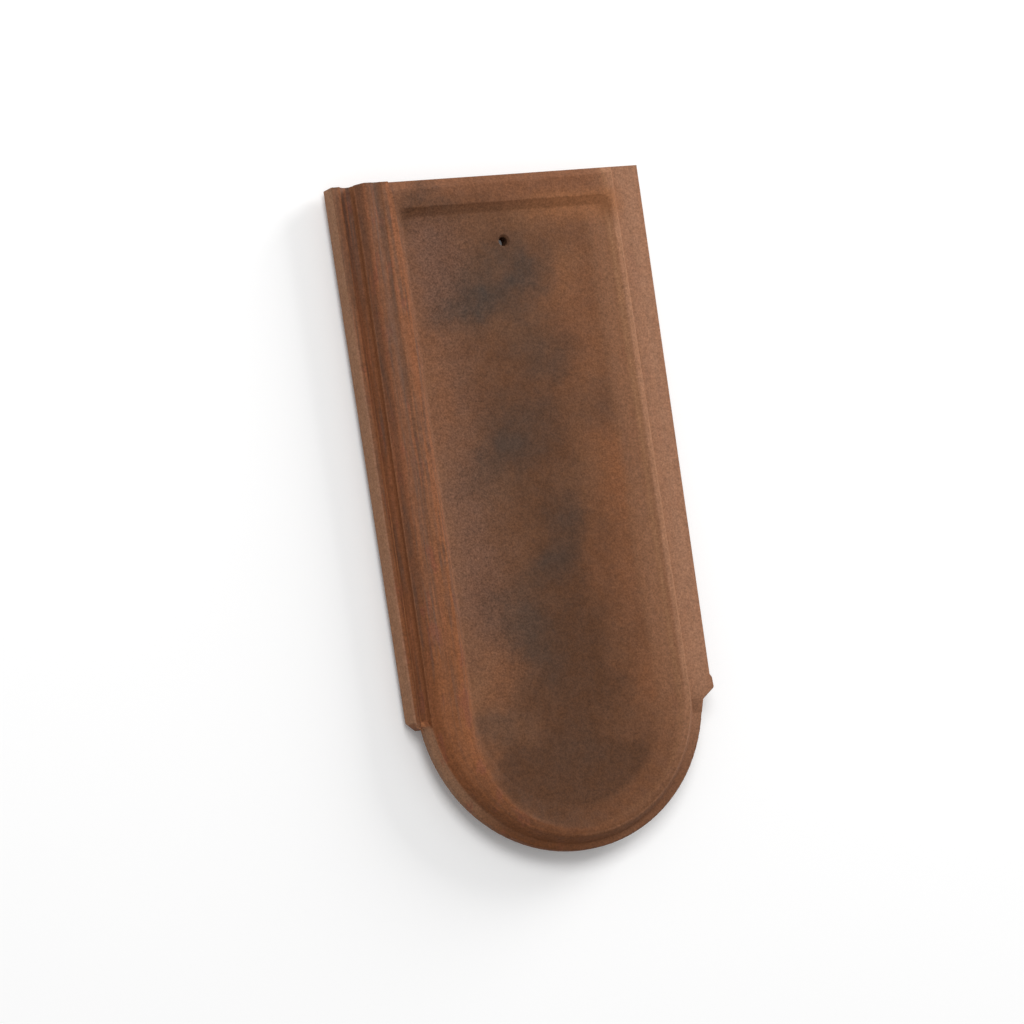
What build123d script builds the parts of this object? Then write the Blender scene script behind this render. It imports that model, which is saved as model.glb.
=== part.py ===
# Interlocking clay roof tile with a half-round tail, pressed and fired in one piece.
# Millimetres. +X is across the roof to the right, +Y is up the slope to the head, +Z is out of the
# roof. The origin is under the middle of the tile, on the plane that its nibs and tail rib stand on.
from build123d import *
import os

# Overall plan
width = 224.0  # across the head, over both side locks
length = 450.0  # from the head to the tip of the tail
tail_radius = 103.1  # half-round tail
cover_pitch = 208.8  # from one tile to its neighbour across the roof

# Levels above the plane it stands on
crown_top = 26.5  # raised border round the tray
tray_floor = 23.0  # weathering face inside the border
lip_top = 19.5  # foot of the crown, all round the tail
lip_bottom = 11.5  # lower edge of the tail
deck_bottom = 13.0  # underside of the clay inside its rim
water_rib_top = 17.5  # outer rib of the left lock
water_floor = 13.0  # bottom of the left lock's channel
lock_bottom = 5.0  # underside of the left lock
cover_top = 23.4  # upper face of the right lock, where it leaves the border
cover_edge_top = 22.8  # the same face at its outer edge
cover_bottom = 18.2  # its underside, over the next tile's rib
cover_rib_tip_head = 14.2  # tip of the rib that hangs in the next tile's channel
cover_rib_tip_tail = 15.5

# Crown: distances from the middle line at its foot and at its top edge
crown_foot_left = 96.0
crown_foot_right = 95.0
crown_foot_tail = 4.5  # from the tail's tip to the foot
crown_top_left = 92.5
crown_top_right = 89.5
crown_top_tail = 8.5
crown_round = 2.0
border_hollow_x = -83.5  # shallow hollow down the wide left border
border_hollow_width = 7.6
border_hollow_depth = 1.2
border_hollow_end_y = -175.0  # where it runs out to nothing
lip_round = 1.6
crown_foot_round = 1.2

# Tray
tray_left = 72.0  # from the middle line to the tray's rim
tray_right = 86.3
tray_head_gap = 18.5  # from the head edge to the tray
tray_tail_gap = 13.0  # from the tail's tip to the tray
tray_slope_left = 4.8  # plan width of the tray's side, left
tray_slope_right = 2.4
tray_slope_head = 6.0
tray_slope_tail = 17.0  # the tail side rises gently
tray_corner = 6.0
tray_floor_round = 3.0

# Left lock: a web under the border, and an outer rib whose inner side slopes into the water channel
left_taper = 3.2  # the lock narrows towards the tail
left_lock_length = 359.0  # on the deck's side of its slanted ear
water_rib_lean_head = 0.7  # plan lean of the rib's outer side
water_rib_lean_tail = 1.2
water_rib_width_head = 5.5  # across its top
water_rib_width_tail = 3.6
water_rib_slope_head = 4.2  # plan width of its inner side
water_rib_slope_tail = 3.0
water_rib_round = 1.4
water_channel_wall = 96.5  # from the middle line
water_channel_ramp = 5.5  # the channel's floor rises at its tail end
water_ramp_rise = 4.0
lock_root = 88.0  # from the middle line, where the lock's web runs out under the border
ear_slant = 5.5  # both ears slope down to the deck
ear_round = 2.2

# Right lock: a flange over the next tile's rib, with a rib of its own that hangs in its channel
right_taper = 3.3
right_lock_length = 354.0  # to the outer corner of its ear
cover_edge_lean = 0.6  # the hanging rib's outer side leans in below the flange
cover_rib_head_width = 3.8  # at its tip
cover_rib_tail_width = 1.6
cover_rib_slope = 1.8  # plan width of its inner side
cover_side_clearance = 0.7  # beside the next tile's outer rib
cover_round = 1.2
flange_root = 88.0  # from the middle line, inside the border
ear_bump_length = 9.0
ear_bump_reach = 1.4
cover_ear_slant = 7.0

# Head
head_strip_left = 6.7  # sloping strip along the head edge, wider on the left
head_strip_right = 4.0
head_strip_drop = 3.6
head_strip_start = -74.0
head_strip_end = 100.0

# Nail hole
nail_x = 4.8
nail_from_head = 44.7
nail_radius = 3.1
nail_mouth_radius = 4.4

# Underside
rim_width = 9.0
nib_spacing = 96.0
nib_centre_x = 5.0
nib_width = 30.0
nib_length = 17.0
nib_from_head = 12.0
nib_draft = 7.0
nib_round = 3.0
tail_rib_from_head = 362.0
tail_rib_span = 130.0
tail_rib_thickness = 11.0
tail_rib_draft = 6.0
stiffener_width = 9.0
stiffener_depth = 3.5
stiffener_draft = 20.0

half_width = width / 2
head_y = length / 2
past = 5.0  # how far a cutter runs past the clay


def along(from_head):
    """Y of a point measured down from the head edge."""
    return head_y - from_head


def tongue(left, right, top, tip, corner=0.0):
    """Outline with straight sides and a round tail of two quarter arcs, one on each side."""
    with BuildSketch() as outline:
        with BuildLine():
            left_quarter = CenterArc((0, tip + left), left, 180, 90)
            right_quarter = CenterArc((0, tip + right), right, 270, 90)
            Polyline(right_quarter @ 1, (right, top), (-left, top), left_quarter @ 0)
        make_face()
        if corner:
            fillet(outline.vertices().group_by(Axis.Y)[-1], corner)
    return outline.sketch


def section(*corners):
    """Closed outline through its corners."""
    with BuildSketch() as outline:
        with BuildLine():
            Polyline(*corners, close=True)
        make_face()
    return outline.sketch


def section_plane(y):
    """Plane across the tile at that Y, with X to the right and Z up."""
    return Plane(origin=(0, y, 0), x_dir=(1, 0, 0), z_dir=(0, -1, 0))


# Tray: its side is steep down both long sides and across the head, and long and gentle at the tail.
with BuildPart() as tray:
    with BuildSketch(Plane.XY.offset(tray_floor)):
        add(tongue(
            tray_left - tray_slope_left,
            tray_right - tray_slope_right,
            along(tray_head_gap + tray_slope_head),
            -head_y + tray_tail_gap + tray_slope_tail,
            tray_corner,
        ))
    with BuildSketch(Plane.XY.offset(crown_top)):
        add(tongue(tray_left, tray_right, along(tray_head_gap), -head_y + tray_tail_gap, tray_corner))
    loft(ruled=True)
    fillet(tray.faces().sort_by(Axis.Z)[0].edges(), tray_floor_round)

# Sloping strip along the head edge, where the next course laps over.
with BuildPart() as head_strip:
    for x, strip_width in ((head_strip_start, head_strip_left), (head_strip_end, head_strip_right)):
        drop = head_strip_drop * (strip_width + past) / strip_width
        with BuildSketch(Plane.YZ.offset(x)):
            add(section(
                (head_y - strip_width, crown_top), (head_y + past, crown_top - drop),
                (head_y + past, crown_top + past), (head_y - strip_width, crown_top + past),
            ))
    loft(ruled=True)

# Crown: the raised border, with the tray pressed into it.
with BuildPart() as crown:
    with BuildSketch(Plane.XY.offset(lip_top)):
        add(tongue(crown_foot_left, crown_foot_right, head_y, crown_foot_tail - head_y))
    with BuildSketch(Plane.XY.offset(crown_top)):
        add(tongue(crown_top_left, crown_top_right, head_y, crown_top_tail - head_y))
    loft(ruled=True)
    add(tray.part, mode=Mode.SUBTRACT)
    rim_edges = crown.faces().filter_by(Axis.Z).sort_by(Axis.Z)[-1].edges()
    head_edge = rim_edges.filter_by(Axis.X).group_by(Axis.Y)[-1]
    fillet([edge for edge in rim_edges if edge not in head_edge], crown_round)
    add(head_strip.part, mode=Mode.SUBTRACT)
    # The hollow is the shallow side of a round bar that rises out of the border towards the tail.
    bar_radius = (border_hollow_width ** 2 / 4 + border_hollow_depth ** 2) / (2 * border_hollow_depth)
    for y, depth in ((head_y + past, border_hollow_depth), (border_hollow_end_y, 0.0)):
        with BuildSketch(section_plane(y)):
            with Locations((border_hollow_x, crown_top + bar_radius - depth)):
                Circle(bar_radius)
    loft(ruled=True, mode=Mode.SUBTRACT)

# Left lock: one section at the head and one at the ear, trimmed to the slanted ear.
left_end = along(left_lock_length)
with BuildPart() as left_lock:
    for y, taper, lean, rib_width, slope in (
        (head_y, 0.0, water_rib_lean_head, water_rib_width_head, water_rib_slope_head),
        (left_end, left_taper, water_rib_lean_tail, water_rib_width_tail, water_rib_slope_tail),
    ):
        outer = taper - half_width
        with BuildSketch(section_plane(y)):
            add(section(
                (outer, lock_bottom),
                (outer + lean, water_rib_top),
                (outer + lean + rib_width, water_rib_top),
                (outer + lean + rib_width + slope, water_floor),
                (-lock_root, water_floor),
                (-lock_root, lock_bottom),
            ))
    loft(ruled=True)
    rib_edges = left_lock.faces().sort_by(Axis.Z)[-1].edges()
    fillet([edge for edge in rib_edges if edge.length > left_lock_length / 2], water_rib_round)
    with BuildSketch() as ear:
        add(section(
            (-half_width, head_y),
            (left_taper - half_width, left_end + ear_slant),
            (-tail_radius, left_end),
            (-lock_root, left_end),
            (-lock_root, head_y),
        ))
        fillet(ear.vertices().sort_by(lambda corner: corner.Y + 3 * corner.X)[0], ear_round)
    extrude(amount=crown_top, mode=Mode.INTERSECT)
    with BuildSketch(Plane.YZ.offset(left_taper - half_width + water_rib_width_tail)):
        add(section(
            (left_end + water_channel_ramp, water_floor), (left_end + 1, water_floor),
            (left_end + 1, water_floor + water_ramp_rise),
        ))
    extrude(amount=half_width - left_taper - water_rib_width_tail - water_channel_wall)

# Right lock: one section at the head and one at the ear, then the ear's bump and slanted end.
right_end = along(right_lock_length)
ear_end = right_end - cover_ear_slant
edge_tail = half_width - right_taper
with BuildPart() as right_lock:
    for y, taper, tip, tip_width in (
        (head_y, 0.0, cover_rib_tip_head, cover_rib_head_width),
        (ear_end, right_taper, cover_rib_tip_tail, cover_rib_tail_width),
    ):
        edge = half_width - taper
        rib_outer = edge - cover_edge_lean
        with BuildSketch(section_plane(y)):
            add(section(
                (flange_root, cover_bottom),
                (flange_root, cover_top),
                (edge, cover_edge_top),
                (edge, cover_bottom),
                (rib_outer, tip),
                (rib_outer - tip_width, tip),
                (rib_outer - tip_width - cover_rib_slope, cover_bottom),
            ))
    loft(ruled=True)
    arris = right_lock.edges().filter_by(lambda edge: edge.length > right_lock_length / 2)
    fillet(arris.group_by(Axis.X)[-1].sort_by(Axis.Z)[-1], cover_round)
    ear_x = edge_tail + ear_bump_reach
    with BuildSketch(Plane.XY.offset(cover_rib_tip_tail)):
        add(section(
            (edge_tail - 1, right_end + ear_bump_length),
            (edge_tail, right_end + ear_bump_length),
            (ear_x, right_end + ear_bump_length - ear_round),
            (ear_x, ear_end),
            (edge_tail - 1, ear_end),
        ))
    extrude(amount=cover_edge_top - cover_rib_tip_tail)
    with BuildSketch() as ear:
        add(section(
            (flange_root, head_y),
            (half_width + past, head_y),
            (half_width + past, right_end + 3 * ear_bump_length),
            (ear_x, right_end + ear_bump_length / 2),
            (ear_x, right_end),
            (tail_radius - 2, ear_end),
            (flange_root, ear_end),
        ))
        fillet(ear.vertices().group_by(Axis.X)[-2].sort_by(Axis.Y)[0], ear_round)
    extrude(amount=crown_top, mode=Mode.INTERSECT)
    # The hanging rib stops short of the ramp in the next tile's channel.
    with BuildSketch(Plane.XY.offset(cover_bottom)):
        add(section(
            (flange_root, right_end), (half_width, right_end), (half_width, ear_end - past),
            (flange_root, ear_end - past),
        ))
    extrude(amount=-cover_bottom, mode=Mode.SUBTRACT)

with BuildPart() as roof_tile:
    # Deck with its half-round tail, thinner inside a rim on the underside.
    with BuildSketch(Plane.XY.offset(lip_bottom)):
        add(tongue(tail_radius, tail_radius, head_y, -head_y))
    extrude(amount=lip_top - lip_bottom)
    outline_edges = roof_tile.edges().filter_by(Axis.Z, reverse=True)
    head_edges = outline_edges.filter_by(Axis.X)
    fillet([edge for edge in outline_edges if edge not in head_edges], lip_round)
    with BuildSketch(Plane.XY.offset(lip_bottom)):
        inner = tail_radius - rim_width
        add(tongue(inner, inner, head_y - rim_width, rim_width - head_y, tray_corner))
    extrude(amount=deck_bottom - lip_bottom, mode=Mode.SUBTRACT)
    add(crown.part)
    lip_edges = roof_tile.edges().filter_by_position(Axis.Z, lip_top, lip_top)
    foot_edges = [
        edge for edge in lip_edges.filter_by(Axis.X, reverse=True)
        if (edge.radius if edge.geom_type == GeomType.CIRCLE else abs(edge.center().X)) < crown_foot_left + 1
    ]
    fillet(foot_edges, crown_foot_round)

    # Room for both locks beside the deck, then the locks themselves.
    with BuildSketch(Plane.XY.offset(water_floor)):
        add(section(
            (-half_width, head_y + past), (-water_channel_wall, head_y + past),
            (-water_channel_wall, left_end), (-half_width, left_end),
        ))
    extrude(amount=crown_top, mode=Mode.SUBTRACT)
    wall_head = cover_pitch - half_width - cover_side_clearance
    wall_tail = wall_head + left_taper
    with BuildSketch(Plane.XY.offset(cover_bottom)):
        add(section(
            (wall_head, head_y), (half_width, head_y), (half_width, ear_end), (wall_tail, ear_end),
        ))
    extrude(amount=-cover_bottom, mode=Mode.SUBTRACT)
    add(left_lock.part)
    add(right_lock.part)

    # Nail hole with a worn funnel at its mouth.
    with Locations((nail_x, along(nail_from_head), tray_floor)):
        CounterSinkHole(nail_radius, nail_mouth_radius)

    # Underside: two nibs that hook on the batten, a rib across the tail, a stiffener behind each nib.
    underside = Plane.XY.offset(deck_bottom)
    nib_y = along(nib_from_head + nib_length / 2)
    tail_rib_y = along(tail_rib_from_head)
    stiffener_length = nib_y - tail_rib_y
    with BuildSketch(underside):
        with Locations((nib_centre_x, nib_y)):
            with GridLocations(nib_spacing, 1, 2, 1):
                RectangleRounded(nib_width, nib_length, nib_round)
    extrude(amount=-deck_bottom, taper=nib_draft)
    with BuildSketch(underside):
        with Locations((nib_centre_x, tail_rib_y)):
            RectangleRounded(tail_rib_span, tail_rib_thickness, nib_round)
    extrude(amount=-deck_bottom, taper=tail_rib_draft)
    with BuildSketch(underside):
        with Locations((nib_centre_x, nib_y - stiffener_length / 2)):
            with GridLocations(nib_spacing, 1, 2, 1):
                Rectangle(stiffener_width, stiffener_length)
    extrude(amount=-stiffener_depth, taper=stiffener_draft)

roof_tile.part.label = "roof_tile"
os.makedirs("parts", exist_ok=True)
export_step(roof_tile.part, "parts/roof_tile.step")
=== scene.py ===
from math import cos, radians, sin

import bmesh
import bpy
from mathutils import Matrix, Vector


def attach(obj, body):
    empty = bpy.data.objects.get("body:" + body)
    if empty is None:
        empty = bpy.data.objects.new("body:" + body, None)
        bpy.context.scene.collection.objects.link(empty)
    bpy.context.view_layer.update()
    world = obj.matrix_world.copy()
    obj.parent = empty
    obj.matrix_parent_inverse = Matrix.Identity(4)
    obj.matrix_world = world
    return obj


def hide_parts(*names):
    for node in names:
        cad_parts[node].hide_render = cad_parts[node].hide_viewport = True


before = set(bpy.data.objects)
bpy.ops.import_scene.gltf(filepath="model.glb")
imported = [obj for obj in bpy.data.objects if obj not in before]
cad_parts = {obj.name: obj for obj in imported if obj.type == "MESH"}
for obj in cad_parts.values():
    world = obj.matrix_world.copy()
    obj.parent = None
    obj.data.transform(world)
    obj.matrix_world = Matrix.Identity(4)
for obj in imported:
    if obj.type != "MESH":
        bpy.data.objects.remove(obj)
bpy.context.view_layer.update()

# ---------------------------------------------------------------- tile
# One piece of red-brown clay, pressed between moulds, dried and fired once, without a glaze. The press
# leaves soft arrises and a skin that isn't quite flat, and the face is sanded. It lies on its two nibs and
# its tail rib. A merged copy of the body takes its place, with the arrises worn round.
MM = 0.001
ARRIS_ANGLE = radians(28)
ARRIS_WEAR = 0.7 * MM
SLIVER = 2.5 * MM  # shorter edges are steps in a curve and stay unworn
WELD = 0.002 * MM
FLAT = radians(2)
CREASE = radians(35)

clay_body = bmesh.new()
clay_body.from_mesh(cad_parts["roof_tile"].data)
bmesh.ops.remove_doubles(clay_body, verts=clay_body.verts, dist=WELD)
bmesh.ops.dissolve_limit(
    clay_body, angle_limit=FLAT, verts=clay_body.verts, edges=clay_body.edges,
    use_dissolve_boundaries=False,
)
arrises = [
    edge for edge in clay_body.edges
    if edge.is_manifold and edge.calc_length() > SLIVER and edge.calc_face_angle_signed() > ARRIS_ANGLE
]
bmesh.ops.bevel(
    clay_body, geom=arrises, offset=ARRIS_WEAR, offset_type="OFFSET", affect="EDGES", segments=2,
    profile=0.5, material=-1, clamp_overlap=False,
)


def bed(head_y, head_section, tail_y, tail_section):
    """Closed strip of clay between a section at its head end and one at its tail end, x and z in mm."""
    ring = [clay_body.verts.new((x * MM, head_y * MM, z * MM)) for x, z in head_section]
    end = clay_body.faces.new(ring)
    swept = bmesh.ops.extrude_face_region(clay_body, geom=[end], use_keep_orig=True)["geom"]
    far_verts = [part for part in swept if isinstance(part, bmesh.types.BMVert)]
    for vert in far_verts:
        near = min(range(len(ring)), key=lambda i: (ring[i].co - vert.co).length)
        x, z = tail_section[near]
        vert.co = (x * MM, tail_y * MM, z * MM)
    faces = {face for vert in ring + far_verts for face in vert.link_faces}
    bmesh.ops.recalc_face_normals(clay_body, faces=list(faces))


# The right lock's ear slopes down to the lip of the tail.
bed(
    -135.4, ((90.0, 23.2), (99.6, 23.1), (101.2, 22.4), (101.9, 21.0), (101.9, 18.6), (90.0, 18.6)),
    -144.5, ((90.0, 19.5), (98.6, 19.5), (99.8, 19.3), (100.4, 19.0), (100.4, 18.6), (90.0, 18.6)),
)
# The bottom of the water channel is round between the rib and the crown, and the lock narrows to the tail.
channel_bottom = (
    (-100.0, 13.08), (-98.8, 13.08), (-97.6, 13.6), (-96.9, 14.6), (-96.4, 16.4), (-95.8, 16.4), (-95.8, 12.6),
)
bed(
    224.9, ((-104.0, 15.6), (-102.6, 14.3), (-101.3, 13.45), *channel_bottom, (-104.0, 12.6)),
    -130.0, (
        (-102.7, 15.6), (-101.7, 14.3), (-100.8, 13.45), (-99.8, 13.08), *channel_bottom[1:], (-102.7, 12.6),
    ),
)
# At its end the channel rises in a ramp to the lip, so that water runs out over the tile below.
ramp_foot = ((-102.4, 12.9), (-96.0, 12.9), (-96.0, 12.6), (-102.4, 12.6))
ramp_middle = ((-102.8, 15.6), (-95.6, 15.6), (-95.6, 12.6), (-102.8, 12.6))
ramp_top = ((-103.2, 18.9), (-95.6, 18.9), (-95.6, 12.6), (-103.2, 12.6))
bed(-128.4, ramp_foot, -131.6, ramp_middle)
bed(-131.6, ramp_middle, -134.4, ramp_top)

bmesh.ops.triangulate(clay_body, faces=[face for face in clay_body.faces if len(face.verts) > 4])
for face in clay_body.faces:
    face.smooth = True
for edge in clay_body.edges:
    edge.smooth = not edge.is_manifold or edge.calc_face_angle() < CREASE
tile_mesh = bpy.data.meshes.new("fired_tile")
clay_body.to_mesh(tile_mesh)
clay_body.free()
tile = bpy.data.objects.new("fired_tile", tile_mesh)
bpy.context.collection.objects.link(tile)
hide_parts("roof_tile")
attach(tile, "root")


def colour(text):
    """sRGB hex to linear RGBA."""
    parts = [int(text[i:i + 2], 16) / 255 for i in (1, 3, 5)]
    return [c / 12.92 if c <= 0.04045 else ((c + 0.055) / 1.055) ** 2.4 for c in parts] + [1.0]


def node(tree, kind, inputs, output=0, **settings):
    """Adds a node with its settings, sets or links its inputs, and gives one of its outputs."""
    made = tree.nodes.new("ShaderNode" + kind)
    for name, value in settings.items():
        setattr(made, name, value)
    for name, value in inputs.items():
        if isinstance(value, bpy.types.NodeSocket):
            tree.links.new(value, made.inputs[name])
        else:
            made.inputs[name].default_value = value
    return made.outputs[output]


# Fired clay with a sanded face, reduced in places in the kiln, so that flame clouds of brown-grey lie over
# the orange body. It is dull and gritty, with a bare trace of sheen.
fired_clay = bpy.data.materials.new("fired_clay_sanded")
fired_clay.use_nodes = True
tile_mesh.materials.append(fired_clay)
clay = fired_clay.node_tree
clay_shader = clay.nodes["Principled BSDF"]
clay_shader.inputs["Specular IOR Level"].default_value = 0.18

place = node(clay, "TexCoord", {}, "Object")
in_mm = node(clay, "VectorMath", {0: place, "Scale": 1000}, operation="SCALE")
x, y, z = (node(clay, "SeparateXYZ", {"Vector": in_mm}, axis) for axis in "XYZ")


def mottle(patch, detail, roughness, seed, stretch=(1, 1, 1), output=0):
    """Noise with patches of a real size in mm, made longer along an axis by a stretch below 1."""
    spot = node(
        clay, "Mapping", {"Vector": in_mm, "Location": (seed, seed * 0.7, seed * 1.3), "Scale": stretch},
    )
    texture = {"Vector": spot, "Scale": 1 / patch, "Detail": detail, "Roughness": roughness}
    return node(clay, "TexNoise", texture, output)


def zone(amount, *steps):
    """Soft-edged region: an amount, times a smooth step of each value from one bound to the other.

    A step is a value, the bound where it adds nothing, the bound where it adds all, and its least part.
    """
    for value, start, end, *least in steps:
        bounds = {"Value": value, "From Min": start, "From Max": end, "To Min": least[0] if least else 0.0}
        part = node(clay, "MapRange", bounds, interpolation_type="SMOOTHSTEP")
        amount = node(clay, "Math", {0: part, 1: amount}, operation="MULTIPLY")
    return amount


def tint(under, tone, amount, *steps):
    """Lays a tone over the clay in a zone."""
    mixed = {0: zone(amount, *steps), 6: under, 7: colour(tone)}
    return node(clay, "Mix", mixed, 2, data_type="RGBA")


# Kiln smoke drifts, so the clouds' outlines wander by up to this much either way.
WANDER = 19
drift = {0: mottle(26, 3.0, 0.6, 11.0, output="Color"), 1: (2 * WANDER, 2 * WANDER, 0), 2: in_mm}
drifted = node(clay, "VectorMath", drift, operation="MULTIPLY_ADD")
drifted = node(clay, "VectorMath", {0: drifted, 1: (WANDER, WANDER, 0)}, operation="SUBTRACT")
on_face = node(clay, "VectorMath", {0: drifted, 1: (1, 1, 0)}, operation="MULTIPLY")


def patches(layout):
    """Sum of soft oval patches: x, y, half length, half width, turn in degrees and strength."""
    total = 0.0
    for centre_x, centre_y, half_length, half_width, turn, strength in layout:
        lie = {
            "Vector": on_face, "Location": (centre_x, centre_y, 0), "Rotation": (0, 0, radians(turn)),
            "Scale": (half_length, half_width, 1),
        }
        oval = node(clay, "Mapping", lie, vector_type="TEXTURE")
        reach = node(clay, "VectorMath", {0: oval}, "Value", operation="LENGTH")
        total = node(clay, "Math", {0: zone(strength, (reach, 1.0, 0.0)), 1: total}, operation="ADD")
    return total


# Grey smoke, and brown scorch round it, both broken up by the draught.
smoke = patches((
    (-6, 154, 64, 40, 32, 0.55), (16, 158, 34, 28, 0, 0.35), (-30, 140, 38, 26, 18, 0.5),
    (24, 104, 34, 28, 0, 0.45), (7, 122, 30, 24, 0, 0.35), (0, -162, 44, 26, 0, 0.25),
    (-50, 212, 44, 12, 0, 0.45), (-6, 54, 50, 34, 35, 0.5), (-30, 26, 44, 34, 30, 0.42),
    (20, 0, 46, 24, 65, 0.45), (2, -35, 34, 24, 20, 0.5), (60, 64, 40, 30, 0, 0.3),
    (-24, -68, 46, 34, 40, 0.42), (-14, -90, 50, 30, 100, 0.42), (-52, -140, 38, 28, 0, 0.42),
))
scorch = patches((
    (0, 70, 210, 84, 92, 0.7), (4, -60, 130, 76, 95, 0.55), (-6, -140, 100, 84, 100, 0.8),
    (6, -190, 120, 54, 0, 0.9), (-40, -176, 60, 34, -40, 0.5), (0, 178, 90, 40, 0, 0.35),
    (-44, 206, 60, 12, 0, 0.4), (-66, 200, 26, 16, 0, 0.5), (30, -20, 80, 50, 80, 0.12),
    (40, -110, 80, 60, 90, 0.35), (44, -186, 60, 40, 40, 0.5),
))
cloudy = mottle(30, 4.0, 0.6, 3.0)
draught = {"Value": cloudy, "From Min": 0.32, "From Max": 0.68, "To Min": 0.7, "To Max": 1.3}
draught = node(clay, "MapRange", draught, interpolation_type="SMOOTHSTEP")
smoke = node(clay, "Math", {0: smoke, 1: draught}, operation="MULTIPLY", use_clamp=True)
draught = {"Value": cloudy, "From Min": 0.3, "From Max": 0.7, "To Min": 0.85, "To Max": 1.15}
draught = node(clay, "MapRange", draught, interpolation_type="SMOOTHSTEP")
scorch = node(clay, "Math", {0: scorch, 1: draught}, operation="MULTIPLY", use_clamp=True)

# The body's own colour varies from orange, where air reached it, to mauve, where it didn't.
rusty = patches((
    (66, 24, 60, 34, 85, 0.75), (62, -116, 40, 34, 0, 0.6), (-42, -108, 44, 28, 70, 0.55),
    (48, -168, 40, 28, 40, 0.35), (-72, -156, 36, 36, 40, 0.6), (44, 140, 70, 50, 90, 0.3),
    (48, 90, 50, 40, 90, 0.3), (-60, 90, 80, 22, 90, 0.35), (50, -60, 70, 34, 90, 0.35),
    (44, -14, 80, 46, 90, 0.35), (-52, -180, 50, 26, -40, 0.6),
))
rusty = node(clay, "Math", {0: rusty, 1: 0.9}, operation="MULTIPLY", use_clamp=True)
mauve = patches((
    (-44, 176, 70, 46, 100, 0.95), (-48, 80, 130, 44, 90, 0.5), (-46, -40, 120, 44, 95, 0.75),
))
body = tint(colour("#80573C"), "#734C34", 1.0, (mottle(60, 3.0, 0.5, 5.0), 0.35, 0.65))
body = tint(body, "#704F3F", mauve)
body = tint(body, "#8A5636", rusty)

# The border is read across, from the tray's rim to the tile's outline, on the left and on the right. It
# narrows round the tail, because the rim's arcs turn about other centres than the outline's.
TAIL_RADIUS, TAIL_CENTRE_Y = 103.1, -121.9
LEFT_RIM, LEFT_RIM_CENTRE_Y = 72.0, -140.0
RIGHT_RIM, RIGHT_RIM_CENTRE_Y = 86.3, -125.7


def outward_from(centre_y):
    """Distance from the middle line, turning round a centre on it at the tail."""
    past = node(clay, "Math", {0: y, 1: centre_y}, operation="SUBTRACT")
    past = node(clay, "Math", {0: past, 1: 0.0}, operation="MINIMUM")
    spoke = node(clay, "CombineXYZ", {"X": x, "Y": past})
    return node(clay, "VectorMath", {0: spoke}, "Value", operation="LENGTH")


outward = outward_from(TAIL_CENTRE_Y)
inside_edge = node(clay, "Math", {0: TAIL_RADIUS, 1: outward}, operation="SUBTRACT")


def across_border(rim, rim_centre_y):
    """Distance across, where the rim is at its own size and the outline always at the tail's radius."""
    past_rim = node(clay, "Math", {0: outward_from(rim_centre_y), 1: rim}, operation="SUBTRACT")
    whole = node(clay, "Math", {0: past_rim, 1: inside_edge}, operation="ADD")
    whole = node(clay, "Math", {0: whole, 1: 1.0}, operation="MAXIMUM")
    share = node(clay, "Math", {0: past_rim, 1: whole}, operation="DIVIDE")
    return node(clay, "Math", {0: share, 1: TAIL_RADIUS - rim, 2: rim}, operation="MULTIPLY_ADD")


across_left = across_border(LEFT_RIM, LEFT_RIM_CENTRE_Y)
across_right = across_border(RIGHT_RIM, RIGHT_RIM_CENTRE_Y)
waver = {0: mottle(30, 2.0, 0.5, 21.0, (1, 0.35, 1)), 1: 5.0, 2: -2.5}
waver = node(clay, "Math", waver, operation="MULTIPLY_ADD")
wavering_left = node(clay, "Math", {0: across_left, 1: waver}, operation="ADD")
wavering_right = node(clay, "Math", {0: across_right, 1: waver}, operation="ADD")
BANDS_FROM, BANDS_TO = 60, 115


def bands(across, stops):
    """Tones across the border, each at its distance out."""
    span = {"Value": across, "From Min": BANDS_FROM, "From Max": BANDS_TO}
    tones = node(clay, "ValToRGB", {"Fac": node(clay, "MapRange", span)}, "Color")
    ramp = tones.node.color_ramp
    while len(ramp.elements) < len(stops):
        ramp.elements.new(1.0)
    for element, (out, tone) in zip(ramp.elements, stops):
        element.position = (out - BANDS_FROM) / (BANDS_TO - BANDS_FROM)
        element.color = colour(tone)
    return tones


def line(across, middle, half_width):
    """Step of a zone that keeps to a line along the border."""
    off = node(clay, "Math", {0: across, 1: middle}, operation="SUBTRACT")
    off = node(clay, "Math", {0: off}, operation="ABSOLUTE")
    return off, half_width, half_width * 0.2


left_bands = bands(wavering_left, (
    (64, "#78503A"), (70, "#835337"), (75, "#875538"), (79, "#7D5238"), (84, "#6C4A37"), (88, "#784E36"),
    (92, "#7C5037"), (96, "#7A4F38"), (99, "#744B33"), (105, "#7F5034"), (112, "#815A42"),
))
left_bands = tint(left_bands, "#854E29", 0.62, (y, 60, -150))
# The stops at 84 and 87 are lighter than the flange: painted light that lifts the shade at the foot of the
# tray's right slope.
right_bands = bands(wavering_right, (
    (64, "#7C553B"), (72, "#83593F"), (81, "#8C6146"), (84, "#9C6F50"), (87, "#A07256"), (90, "#93684C"),
    (94, "#956A50"), (104, "#986D53"), (110, "#966A50"), (113, "#8C654D"),
))
right_half = zone(1.0, (x, -30, 40))
border = node(clay, "Mix", {0: right_half, 6: left_bands, 7: right_bands}, 2, data_type="RGBA")
tail_depth = {0: right_half, 2: zone(0.8, (y, -145, -212)), 3: zone(0.72, (y, -95, -205))}
tail_depth = node(clay, "Mix", tail_depth)
border = tint(border, "#643C22", tail_depth)
# The lip round the tail's left half.
border = tint(border, "#8A6850", 0.8, (outward, 96.5, 98.5), (y, -126, -138), (x, -45, -90))
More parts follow.
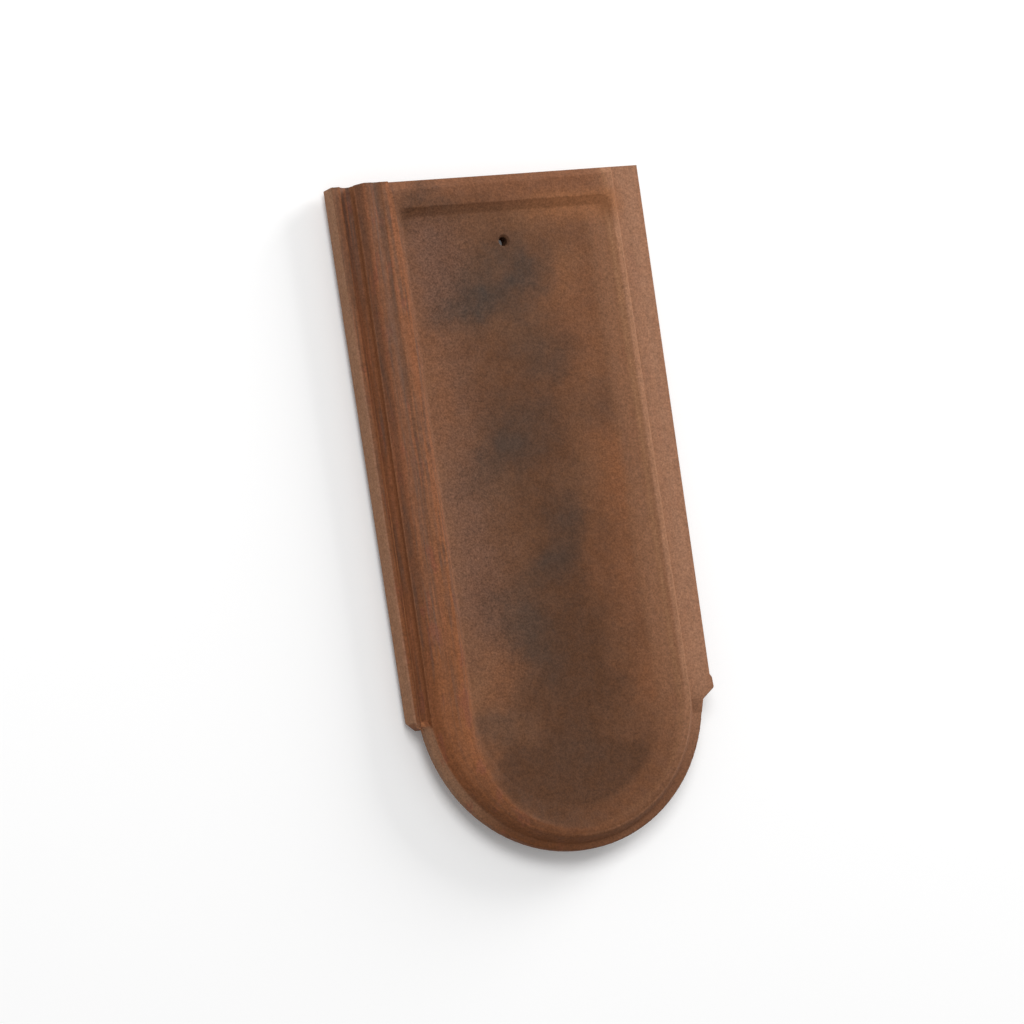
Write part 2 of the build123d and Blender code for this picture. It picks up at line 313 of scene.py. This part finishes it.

# The left lock narrows towards the tail, and its x is straightened here. Its channel is oranger than the
# border, and is painted lighter still to lift the shade in it. It is greyer near the head. Its bottom has
# painted shade, and the slope of the rib beside it has a painted highlight.
lock_x = node(clay, "Math", {0: x, 1: 2.0}, operation="SUBTRACT")
lock_x = node(clay, "Math", {0: y, 1: 0.0089, 2: lock_x}, operation="MULTIPLY_ADD")
on_lock = (y, -138, -132)
gutter = (x, -93, -97), (z, 17.2, 16.2), on_lock, (lock_x, -110.4, -107.0)
# The channel's own orange, painted lighter to lift the shade in it.
border = tint(border, "#965F3F", 0.85, *gutter)
# Painted shade: the channel's bottom, in the shade of the crown.
border = tint(border, "#74482D", 0.9, *gutter, (z, 14.2, 13.2))
# Painted highlight: the rib's inner slope, where it catches the light.
border = tint(border, "#B87A50", 0.8, *gutter, (x, -99, -101), (z, 13.4, 14.6), (y, 150, 0))
border = tint(border, "#6B4E40", 0.7, *gutter, (y, 120, 200))

# The press draws the slip out into streaks along the border, which are strongest on its wide left side.
down_border = {
    "X": wavering_left,
    "Y": node(clay, "Math", {0: y, 1: 0.03}, operation="MULTIPLY"),
    "Z": node(clay, "Math", {0: right_half, 1: 40.0}, operation="MULTIPLY"),
}
STREAK_WIDTH = 2.6  # mm
drawn = node(clay, "CombineXYZ", down_border)
streaks = {"Vector": drawn, "Scale": 1 / STREAK_WIDTH, "Detail": 2.0, "Roughness": 0.55}
streaks = node(clay, "TexNoise", streaks)
blotches = mottle(9, 3.0, 0.6, 61.0, (1, 0.4, 1))
streak_depth = zone(0.75, (x, 20, -60, 0.15), (blotches, 0.3, 0.65, 0.2), (y, -150, -60, 0.4))
border = tint(border, "#5F473A", streak_depth, (streaks, 0.54, 0.36))
border = tint(border, "#915A3C", streak_depth, (streaks, 0.5, 0.66))
border = tint(border, "#7F4A38", 0.5, (blotches, 0.56, 0.7), (x, 20, -60, 0.2))

# The outer rib's side, lighter partly in its own dusty tone and partly as painted light; its arris, worn pale
# and with a painted highlight; and its top. Then the channel's wall, painted lighter to lift its shade, and
# the crown's left side, in painted shade.
# The rib's side: partly its dusty tone, partly painted light.
border = tint(border, "#946C51", 0.9, (lock_x, -110.2, -111.2), (z, 17.2, 16.4))
# The arris: worn pale, with a painted highlight along it.
border = tint(border, "#9A7158", 0.75, line(lock_x, -110.4, 1.1), (z, 16.2, 16.9), (y, 170, 110, 0.1))
border = tint(border, "#5E4334", 0.45, line(lock_x, -108.5, 2.6), (z, 16.6, 17.2), (y, 110, 160))
# Painted light: the channel's wall, lightened against its shade.
border = tint(border, "#8E5C3C", 0.8, (x, -97.5, -96.8), (z, 20.0, 19.2), on_lock, (x, -60, -90))
# Painted shade on the crown's left slope, which faces away from the light.
on_crown_side = (outward, 91.5, 93.5), (z, 19.6, 20.4), (z, 26.3, 25.0), (x, -40, -90)
border = tint(border, "#5C3A26", 0.14, *on_crown_side, (y, -40, 80))
# The narrow right border is painted lighter along the flange's root and at the tray's rim: painted light that
# lifts the shade at the foot of these slopes.
on_right_border = (x, -30, 40), (y, 204, 194)
# Painted light at the flange's root.
border = tint(border, "#B07F62", 0.2, line(across_right, 91.0, 1.4), *on_right_border)
# Painted light on the tray's rim, on its shaded slope.
border = tint(border, "#B0805E", 0.42, line(across_right, 85.0, 2.0), *on_right_border, (y, 0, 70))

on_border = {0: right_half, 2: zone(1.0, (wavering_left, 65, 73)), 3: zone(1.0, (wavering_right, 62, 72))}
on_border = node(clay, "Mix", on_border)
body = node(clay, "Mix", {0: on_border, 6: body, 7: border}, 2, data_type="RGBA")
# The head's border, and its right corner beside the tray, which is painted lighter to lift the shade on the
# head's step.
body = tint(body, "#7C5036", 1.0, (y, 197, 208), (x, -76, -66), (outward, 96, 64))
# Painted light: the head's step, lightened on its right half.
body = tint(body, "#925F3D", 0.75, (y, 184, 200), (x, 4, 50), (outward, 104, 84), (y, 215, 206))
# The clouds keep mostly to the tray.
off_border = node(clay, "Math", {0: on_border, 1: -0.8, 2: 1.0}, operation="MULTIPLY_ADD")
body = tint(body, "#573824", node(clay, "Math", {0: scorch, 1: off_border}, operation="MULTIPLY"))
body = tint(body, "#46382F", node(clay, "Math", {0: smoke, 1: off_border}, operation="MULTIPLY"))

# Sand from the mould, in grains of about 0.7 mm, drawn at twice that so that they show.
SAND = 1.3
sand = mottle(SAND, 2.0, 0.7, 7.0)
grain_depth = node(clay, "Math", {0: mauve, 1: 0.7, 2: 1.25}, operation="MULTIPLY_ADD")
grain = node(clay, "Math", {0: sand, 1: 0.5}, operation="SUBTRACT")
grain = node(clay, "Math", {0: grain, 1: grain_depth, 2: 1.0}, operation="MULTIPLY_ADD")
heaps = mottle(3.2, 2.0, 0.6, 17.0)
heaps = {"Value": heaps, "From Min": 0.25, "From Max": 0.7, "To Min": 0.9, "To Max": 1.09}
heaps = node(clay, "MapRange", heaps, interpolation_type="SMOOTHSTEP")
grain = node(clay, "Math", {0: grain, 1: heaps}, operation="MULTIPLY")
body = node(clay, "Mix", {0: 1.0, 6: body, 7: grain}, 2, data_type="RGBA", blend_type="MULTIPLY")
clay.links.new(body, clay_shader.inputs["Base Color"])

sheen = mottle(9, 2.0, 0.5, 31.0)
sheen = {"Value": sheen, "From Min": 0.3, "From Max": 0.7, "To Min": 0.68, "To Max": 0.86}
sheen = node(clay, "MapRange", sheen, interpolation_type="SMOOTHSTEP")
clay.links.new(sheen, clay_shader.inputs["Roughness"])

# The press's slight waves, half a millimetre high, with the sand's grit on them.
waves = {"Strength": 0.5, "Distance": 0.5 * MM, "Height": mottle(16, 2.0, 0.5, 41.0)}
grit = {"Strength": 0.6, "Distance": 0.22 * MM, "Height": sand, "Normal": node(clay, "Bump", waves)}
clay.links.new(node(clay, "Bump", grit), clay_shader.inputs["Normal"])

# ---------------------------------------------------------------- floor
# A smooth studio table of white laminate, far wider than the view. The camera sees it a little lighter than
# it is, nearly white, and it keeps the tile's shadow.
HALF_FLOOR = 6
floor_mesh = bpy.data.meshes.new("studio_floor")
sheet = bmesh.new()
bmesh.ops.create_grid(sheet, x_segments=1, y_segments=1, size=HALF_FLOOR)
sheet.to_mesh(floor_mesh)
sheet.free()
floor = bpy.data.objects.new("studio_floor", floor_mesh)
bpy.context.collection.objects.link(floor)

table = bpy.data.materials.new("white_laminate_matt")
table.use_nodes = True
laminate = table.node_tree
floor_mesh.materials.append(table)
table_shader = laminate.nodes["Principled BSDF"]
table_shader.inputs["Base Color"].default_value = colour("#FCFCFC")
table_shader.inputs["Roughness"].default_value = 0.9
table_shader.inputs["Specular IOR Level"].default_value = 0.1
table_shader.inputs["Emission Color"].default_value = (1, 1, 1, 1)
seen = node(laminate, "LightPath", {}, "Is Camera Ray")
lift = node(laminate, "Math", {0: seen, 1: 0.08}, operation="MULTIPLY")
laminate.links.new(lift, table_shader.inputs["Emission Strength"])

# ---------------------------------------------------------------- camera
# A long lens, looking down on the face from the tile's right. It is rolled so that the tail points down.
AZIMUTH, ELEVATION, ROLL = radians(-77.09), radians(63.149), radians(69.971)
DISTANCE = 3.742583
target = Vector((-0.013267, 0.001629, 0.012))
ahead = Vector((-sin(AZIMUTH) * cos(ELEVATION), cos(AZIMUTH) * cos(ELEVATION), -sin(ELEVATION)))
level_right = Vector((cos(AZIMUTH), sin(AZIMUTH), 0))
level_up = level_right.cross(ahead)
right = cos(ROLL) * level_right + sin(ROLL) * level_up
up = cos(ROLL) * level_up - sin(ROLL) * level_right
camera_data = bpy.data.cameras.new("studio_camera")
camera_data.lens = 200
camera_data.sensor_width = 36
camera_data.clip_end = 20
camera = bpy.data.objects.new("studio_camera", camera_data)
bpy.context.collection.objects.link(camera)
stand = Matrix((right, up, -ahead)).transposed().to_4x4()
stand.translation = target - ahead * DISTANCE
camera.matrix_world = stand
bpy.context.scene.camera = camera

# ---------------------------------------------------------------- light
# A white room, one softbox nearly overhead, and a stronger one low beyond the head's right corner. The low
# one shows the tray's relief and throws the shadow to the lower left.
world = bpy.data.worlds.new("studio_world")
world.use_nodes = True
bpy.context.scene.world = world
world.node_tree.nodes["Background"].inputs["Color"].default_value = (1, 1, 1, 1)
world.node_tree.nodes["Background"].inputs["Strength"].default_value = 0.42


def softbox(name, position, size, power):
    """Square lamp that faces the tile."""
    light = bpy.data.lights.new(name, "AREA")
    light.shape = "SQUARE"
    light.size = size
    light.energy = power
    lamp = bpy.data.objects.new(name, light)
    bpy.context.collection.objects.link(lamp)
    lamp.location = position
    lamp.rotation_euler = (target - Vector(position)).to_track_quat("-Z", "Y").to_euler()


softbox("top_softbox", (-0.7, 1.3, 3.0), 1.6, 48)
softbox("low_softbox", (2.7, 1.75, 1.02), 1.5, 80)

bpy.context.scene.view_settings.view_transform = "Standard"
